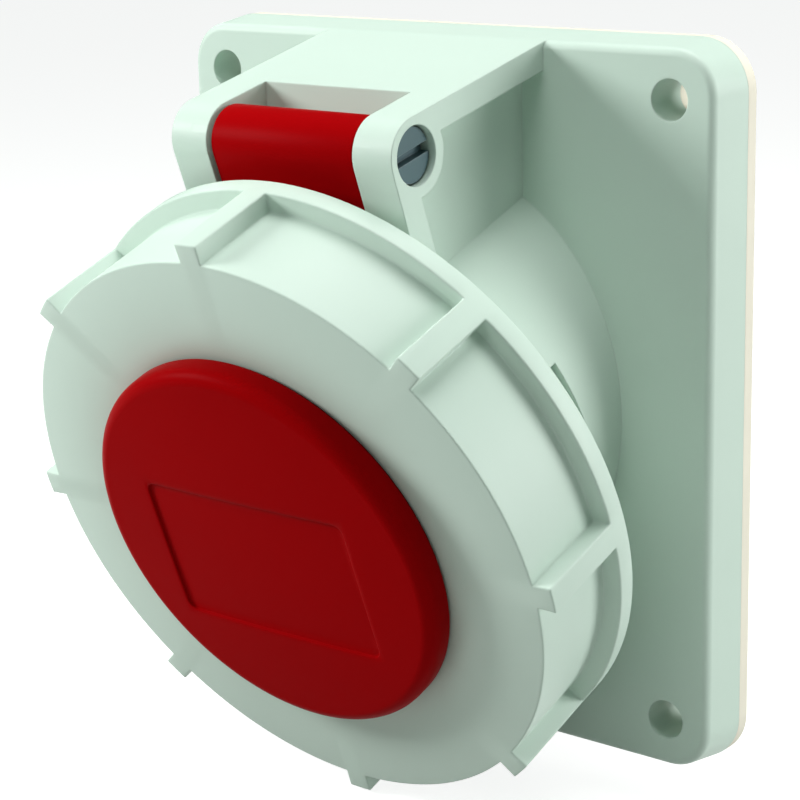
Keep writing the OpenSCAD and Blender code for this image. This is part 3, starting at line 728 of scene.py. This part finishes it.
@dataclass
class LockingRing:
    """The bayonet ring, with its ribs outside and its two hooks inside."""

    opening_r: float = 27.3
    inner_r: float = 39.0
    wall_r: float = 41.8
    rim_r: float = 44.5
    hook_r: float = 36.4
    rear: float = 20.3
    rim_front: float = 23.2
    under: float = 34.35
    face: float = 37.2
    rib_count: int = 8
    rib_width: float = 3.7
    hook_middles: tuple[float, float] = (40.0, 220.0)
    hook_half: float = 10.0
    slot_middle: float = 290.0
    slot_half: float = 23.0
    slot_inner_r: float = 29.9
    slot_outer_r: float = 33.0
    slot_depth: float = 1.3
    edge_r: float = 0.4
    step_degrees: float = 1.6

    def section(self, rib: bool, hook: bool, slot: bool) -> list[tuple[float, float]]:
        """Returns the ring's section.

        Args:
            rib: Whether it lies in a rib.
            hook: Whether it lies in a hook.
            slot: Whether it lies in the slot for the lid's peg.

        Returns:
            The corners, as distance from the axis and height along it.
        """
        points = [(self.opening_r, self.under), (self.opening_r, self.face), (self.wall_r, self.face)]
        points.append((self.rim_r, self.face) if rib else (self.wall_r, self.rim_front))
        points += [(self.rim_r, self.rim_front), (self.rim_r, self.rear), (self.inner_r, self.rear)]
        if hook:
            points += [(self.hook_r, self.rear), (self.hook_r, self.rim_front)]
        points += [(self.inner_r, self.rim_front), (self.inner_r, self.under)]
        slot_top = self.under + self.slot_depth
        points.append((self.slot_outer_r, self.under))
        if slot:
            points += [(self.slot_outer_r, slot_top), (self.slot_inner_r, slot_top)]
        points.append((self.slot_inner_r, self.under))
        return points

    def spans(self) -> dict[str, list[tuple[float, float]]]:
        """Returns the angles from which and to which each local form runs.

        Returns:
            Pairs of angles in degrees, by the form's name.
        """
        rib_half = math.degrees(math.asin(self.rib_width / 2 / self.rim_r))
        pitch = 360.0 / self.rib_count
        return {
            "rib": [(k * pitch - rib_half, k * pitch + rib_half) for k in range(self.rib_count)],
            "hook": [(middle - self.hook_half, middle + self.hook_half) for middle in self.hook_middles],
            "slot": [(self.slot_middle - self.slot_half, self.slot_middle + self.slot_half)],
        }

    def build(self) -> None:
        """Builds the ring as sectors that share their corners, and rounds its edges."""
        spans = self.spans()
        ends = [angle for pairs in spans.values() for pair in pairs for angle in pair]
        cuts = sorted({round(angle % 360.0, 6) for angle in ends})
        bm = bmesh.new()
        for start, end in zip(cuts, cuts[1:] + [cuts[0] + 360.0]):
            middle = (start + end) / 2
            forms = {form: any(abs((middle - (a + b) / 2 + 180.0) % 360.0 - 180.0) < (b - a) / 2
                               for a, b in pairs) for form, pairs in spans.items()}
            wire = outline(bm, self.section(**forms))
            bmesh.ops.rotate(bm, verts=verts_of(wire), cent=(0, 0, 0),
                             matrix=Matrix.Rotation(math.radians(start), 3, "Z"))
            turn_outline(bm, wire, end - start, max(1, round((end - start) / self.step_degrees)))
        close_up(bm)
        round_edges(bm, sharp_edges(bm), self.edge_r)
        finish_piece("locking_ring", bm, SOCKET, GREY_PLASTIC, Body.RING, ["bayonet_ring"])


# ---------------------------------------------------------------------------
# Lid
# ---------------------------------------------------------------------------

@dataclass
class Lid:
    """The red lid: dome with its recessed field, skirt, and the arm that carries it."""

    dome_r: float = 28.0
    flat_r: float = 26.0
    dome_under: float = 37.45
    dome_edge: float = 41.6
    crown: float = 0.5
    neck_r: float = 26.9
    face: float = 31.6
    shoulder: float = 34.1
    skirt_r: float = 36.0
    skirt_inner_r: float = 33.0
    skirt_end: float = 28.0
    groove_r: tuple[float, float] = (27.45, 32.15)
    groove_top: float = 32.78
    hollow_r: float = 24.4
    hollow_top: float = 39.1
    field_size: tuple[float, float] = (34.2, 21.4)
    field_drop: float = 2.2
    field_corner_r: float = 1.5
    field_depth: float = 0.4
    field_edge_r: float = 0.1
    grid: float = 2.1
    peg_at: float = 31.45
    peg_r: float = 1.2
    peg_top: float = 35.2
    steps: int = 192
    arm_half: float = 12.1
    arm_r: float = 4.6
    arm_t: float = 4.0
    arm_edge_r: float = 0.5
    arm_sink: float = 0.6
    peg_sink: float = 0.5
    tongue_from: float = 66.0
    tongue_span: float = 48.0
    tongue_steps: int = 36
    barrel_steps: int = 64
    bore_steps: int = 48
    peg_steps: int = 32
    pin_along: float = 12.5
    pin_above: float = 45.6
    bore_r: float = 2.04

    def build(self) -> None:
        """Builds the round body, the crown with its field, the peg and the arm."""
        bm = bmesh.new()
        self.add_body(bm)
        self.add_crown(bm)
        bmesh.ops.remove_doubles(bm, verts=bm.verts, dist=0.002)
        bmesh.ops.recalc_face_normals(bm, faces=bm.faces)
        self.add_peg(bm)
        self.add_tongue(bm)
        self.add_arm(bm)
        finish_piece("lid_cap", bm, SOCKET, RED_PLASTIC, Body.LID, ["lid"])

    def add_body(self, bm: bmesh.types.BMesh) -> None:
        """Adds all that is round, except the crown on top.

        Args:
            bm: The lid's mesh.
        """
        inner, outer = self.groove_r
        corners = [
            ((self.flat_r, self.dome_edge), 0.0),
            ((self.dome_r, self.dome_edge), 1.9),
            ((self.dome_r, self.dome_under), 0.5),
            ((self.neck_r, self.dome_under), 0.0),
            ((self.neck_r, self.shoulder), 0.0),
            ((self.skirt_r, self.shoulder), 0.8),
            ((self.skirt_r, self.skirt_end), 0.5),
            ((self.skirt_inner_r, self.skirt_end), 0.5),
            ((self.skirt_inner_r, self.face), 0.0),
            ((outer, self.face), 0.0),
            ((outer, self.groove_top), 0.0),
            ((inner, self.groove_top), 0.0),
            ((inner, self.face), 0.0),
            ((self.hollow_r, self.face), 0.4),
            ((self.hollow_r, self.hollow_top), 1.5),
            ((0.0, self.hollow_top), 0.0),
        ]
        verts = outline(bm, [corner for corner, _ in corners], closed=False)[:len(corners)]
        for vert, (_, radius) in zip(verts, corners):
            if radius > 0.0:
                round_corners(bm, [vert], radius, 8 if radius > 1.0 else 3)
        turn_outline(bm, bm.verts[:] + bm.edges[:], 360.0, self.steps)

    def add_crown(self, bm: bmesh.types.BMesh) -> None:
        """Adds the low crown, with the field sunk into it.

        Args:
            bm: The lid's mesh.
        """
        top = bmesh.new()
        field = bmesh.ops.create_grid(top, x_segments=1, y_segments=1, size=0.5)["verts"]
        bmesh.ops.scale(top, verts=field, vec=(*self.field_size, 1.0))
        bmesh.ops.translate(top, verts=field, vec=(0.0, -self.field_drop, 0.0))
        round_corners(top, field, self.field_corner_r, 6)
        floor, rim = top.faces[:], top.edges[:]
        circle = bmesh.ops.create_circle(top, cap_ends=False, radius=self.flat_r,
                                         segments=self.steps)["verts"]
        ring_edges = list({edge for vert in circle for edge in vert.link_edges})
        bmesh.ops.triangle_fill(top, edges=rim + ring_edges, use_beauty=True)
        bmesh.ops.recalc_face_normals(top, faces=top.faces)
        push(top, floor, (0.0, 0.0, -self.field_depth), leave=False)
        round_edges(top, sharp_edges(top), self.field_edge_r, 2)
        bmesh.ops.triangulate(top, faces=top.faces[:])
        lines = math.ceil(self.flat_r / self.grid)
        for k in range(-lines, lines + 1):
            for normal in ((1.0, 0.0, 0.0), (0.0, 1.0, 0.0)):
                place = Vector(normal) * (k + 0.5) * self.grid
                bmesh.ops.bisect_plane(top, geom=everything(top), plane_co=place, plane_no=normal)
        for vert in top.verts:
            out = (vert.co.x ** 2 + vert.co.y ** 2) / self.flat_r ** 2
            vert.co.z += self.dome_edge + self.crown * max(0.0, 1.0 - out)
        take_in(bm, top)

    def add_peg(self, bm: bmesh.types.BMesh) -> None:
        """Adds the peg that runs in the ring's slot.

        Args:
            bm: The lid's mesh.
        """
        low = self.shoulder - self.peg_sink
        place = Matrix.Translation((0.0, -self.peg_at, (low + self.peg_top) / 2))
        bmesh.ops.create_cone(bm, cap_ends=True, segments=self.peg_steps, radius1=self.peg_r,
                              radius2=self.peg_r, depth=self.peg_top - low, matrix=place)

    def add_tongue(self, bm: bmesh.types.BMesh) -> None:
        """Adds the tongue from the skirt back to the arm, under the ring.

        Args:
            bm: The lid's mesh.
        """
        part = bmesh.new()
        low = self.pin_along + self.arm_r - self.arm_t
        wire = outline(part, [(self.skirt_inner_r, low), (self.skirt_r, low),
                              (self.skirt_r, self.face), (self.skirt_inner_r, self.face)])
        bmesh.ops.rotate(part, verts=verts_of(wire), cent=(0, 0, 0),
                         matrix=Matrix.Rotation(math.radians(self.tongue_from), 3, "Z"))
        turn_outline(part, wire, self.tongue_span, self.tongue_steps)
        for side in (-1.0, 1.0):
            bmesh.ops.bisect_plane(part, geom=everything(part), plane_co=(side * self.arm_half, 0.0, 0.0),
                                   plane_no=(side, 0.0, 0.0), clear_outer=True)
        close_up(part)
        round_edges(part, sharp_edges(part), self.arm_edge_r / 2)
        take_in(bm, part)

    def add_arm(self, bm: bmesh.types.BMesh) -> None:
        """Adds the leg that rises from the tongue and the barrel round the hinge pin.

        Args:
            bm: The lid's mesh.
        """
        part = bmesh.new()
        back = self.arm_r - self.arm_t
        drop = math.sqrt(self.arm_r ** 2 - back ** 2)
        foot = self.skirt_inner_r + self.arm_sink - self.pin_above
        start = part.verts.new((back, -drop, 0.0))
        sweep = 360.0 - math.degrees(math.atan2(drop, back))
        arc = bmesh.ops.spin(part, geom=[start], cent=(0, 0, 0), axis=(0, 0, -1), dvec=(0, 0, 0),
                             angle=math.radians(sweep), steps=self.barrel_steps, use_merge=False)
        front = verts_of(arc["geom_last"])[0]
        low_back = part.verts.new((back, foot, 0.0))
        low_front = part.verts.new((self.arm_r, foot, 0.0))
        for pair in ((start, low_back), (low_back, low_front), (low_front, front)):
            part.edges.new(pair)
        bmesh.ops.create_circle(part, cap_ends=False, radius=self.bore_r, segments=self.bore_steps)
        bmesh.ops.triangle_fill(part, edges=part.edges[:], use_beauty=True, use_dissolve=True)
        push(part, part.faces[:], (0.0, 0.0, 2 * self.arm_half))
        bmesh.ops.recalc_face_normals(part, faces=part.faces)
        round_edges(part, sharp_edges(part), self.arm_edge_r)
        part.transform(Matrix(((0, 0, 1, -self.arm_half), (0, 1, 0, self.pin_above),
                               (1, 0, 0, self.pin_along), (0, 0, 0, 1))))
        bmesh.ops.recalc_face_normals(part, faces=part.faces)
        take_in(bm, part)


# ---------------------------------------------------------------------------
# Housing and hinge pin
# ---------------------------------------------------------------------------

@dataclass
class HousingShell:
    """The moulded housing: the solid's own form, with ears that are flush round the pin."""

    ear_inside: float = 12.4
    ear_r: float = 5.0
    corner_r: float = 6.5
    counterbore_r: float = 4.0
    plate_turn: float = 97.1
    merge_mm: float = 0.002
    smooth_below: float = 25.0

    def build(self) -> None:
        """Takes a merged copy of the solid and smooths its ears and its shading."""
        bm = bmesh.new()
        bm.from_mesh(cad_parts["housing"].data)
        bmesh.ops.remove_doubles(bm, verts=bm.verts, dist=self.merge_mm * MM)
        bm.transform(SOCKET.matrix().inverted())
        self.smooth_ears(bm)
        shell = finish_piece("housing_shell", bm, SOCKET, GREY_PLASTIC, Body.HOUSING, ["housing"],
                             self.smooth_below)
        shading = shell.modifiers.new("flat_faces", "WEIGHTED_NORMAL")
        shading.keep_sharp = True

    def smooth_ears(self, bm: bmesh.types.BMesh) -> None:
        """Brings the boss round the pin flush with the plate and the leg in front of it.

        Args:
            bm: The housing's mesh, on the socket's axis.
        """
        slope = math.radians(self.plate_turn)
        plate = Vector((math.cos(slope), math.sin(slope)))
        for vert in bm.verts:
            offset = Vector((vert.co.z - Lid.pin_along, vert.co.y - Lid.pin_above))
            near_pin = self.counterbore_r <= offset.length <= self.corner_r
            if abs(vert.co.x) < self.ear_inside or not near_pin:
                continue
            turn = math.degrees(math.atan2(offset.y, offset.x))
            if 0.0 <= turn <= self.plate_turn:
                offset *= min(1.0, self.ear_r / offset.length)
            elif turn < 0.0:
                offset.x = min(offset.x, self.ear_r)
            else:
                offset -= plate * max(0.0, offset.dot(plate) - self.ear_r)
            vert.co.z = Lid.pin_along + offset.x
            vert.co.y = Lid.pin_above + offset.y


@dataclass
class HingePin:
    """The plastic hinge pin, whose slotted head is a pair of chamfered flats."""

    shank_r: float = 2.0
    head_r: float = 3.6
    head_from: float = 14.92
    head_to: float = 17.9
    slot_floor: float = 16.6
    slot_w: float = 1.4
    slot_turn: float = 14.0
    chamfer: float = 0.45
    tail: float = -17.1
    overlap: float = 0.5
    flat_sink: float = 0.2
    steps: int = 64
    smooth_below: float = 25.0

    def build(self) -> None:
        """Builds the shank, the head's disc and the two flats beside the slot."""
        bm = bmesh.new()
        self.add_disc(bm, self.shank_r, self.tail, self.head_from + self.overlap)
        self.add_disc(bm, self.head_r, self.head_from, self.slot_floor)
        for side in (-1.0, 1.0):
            self.add_flat(bm, side)
        bmesh.ops.rotate(bm, verts=bm.verts, cent=(0, 0, 0),
                         matrix=Matrix.Rotation(math.radians(self.slot_turn), 3, "Z"))
        finish_piece("pin_with_slot", bm, HINGE, SLATE_PLASTIC, Body.HOUSING, ["hinge_pin"],
                     self.smooth_below)

    def add_disc(self, bm: bmesh.types.BMesh, radius: float, low: float, high: float) -> None:
        """Adds a closed cylinder.

        Args:
            bm: The pin's mesh.
            radius: Radius of the cylinder.
            low: Height of its lower end.
            high: Height of its upper end.
        """
        bmesh.ops.create_cone(bm, cap_ends=True, segments=self.steps, radius1=radius, radius2=radius,
                              depth=high - low, matrix=Matrix.Translation((0, 0, (low + high) / 2)))

    def add_flat(self, bm: bmesh.types.BMesh, side: float) -> None:
        """Adds the chamfered half of the head on one side of the slot.

        Args:
            bm: The pin's mesh.
            side: Side of the slot, as -1 or 1.
        """
        part = bmesh.new()
        bmesh.ops.create_circle(part, cap_ends=True, segments=self.steps, radius=self.head_r,
                                matrix=Matrix.Translation((0, 0, self.slot_floor - self.flat_sink)))
        bmesh.ops.bisect_plane(part, geom=everything(part), plane_co=(0, side * self.slot_w / 2, 0),
                               plane_no=(0, -side, 0), clear_outer=True)
        top = push(part, part.faces[:], (0, 0, self.head_to - self.slot_floor + self.flat_sink))
        bmesh.ops.recalc_face_normals(part, faces=part.faces)
        rim = [edge for edge in part.edges if all(vert in top for vert in edge.verts)]
        round_edges(part, rim, self.chamfer, 1)
        take_in(bm, part)


def dress_nodes() -> None:
    """Gives every CAD node its finish."""
    for finish, names in NODE_FINISHES.items():
        material = material_of(finish)
        for name in names:
            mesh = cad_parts[name].data
            mesh.materials.clear()
            mesh.materials.append(material)
            log.info("%s: %s", name, finish.name)


def main() -> None:
    """Builds the whole visual model."""
    logging.basicConfig(level=logging.INFO, format="%(name)s: %(message)s")
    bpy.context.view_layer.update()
    Studio().build()
    dress_nodes()
    LockingRing().build()
    Lid().build()
    HousingShell().build()
    HingePin().build()


if __name__ == "__main__":
    main()
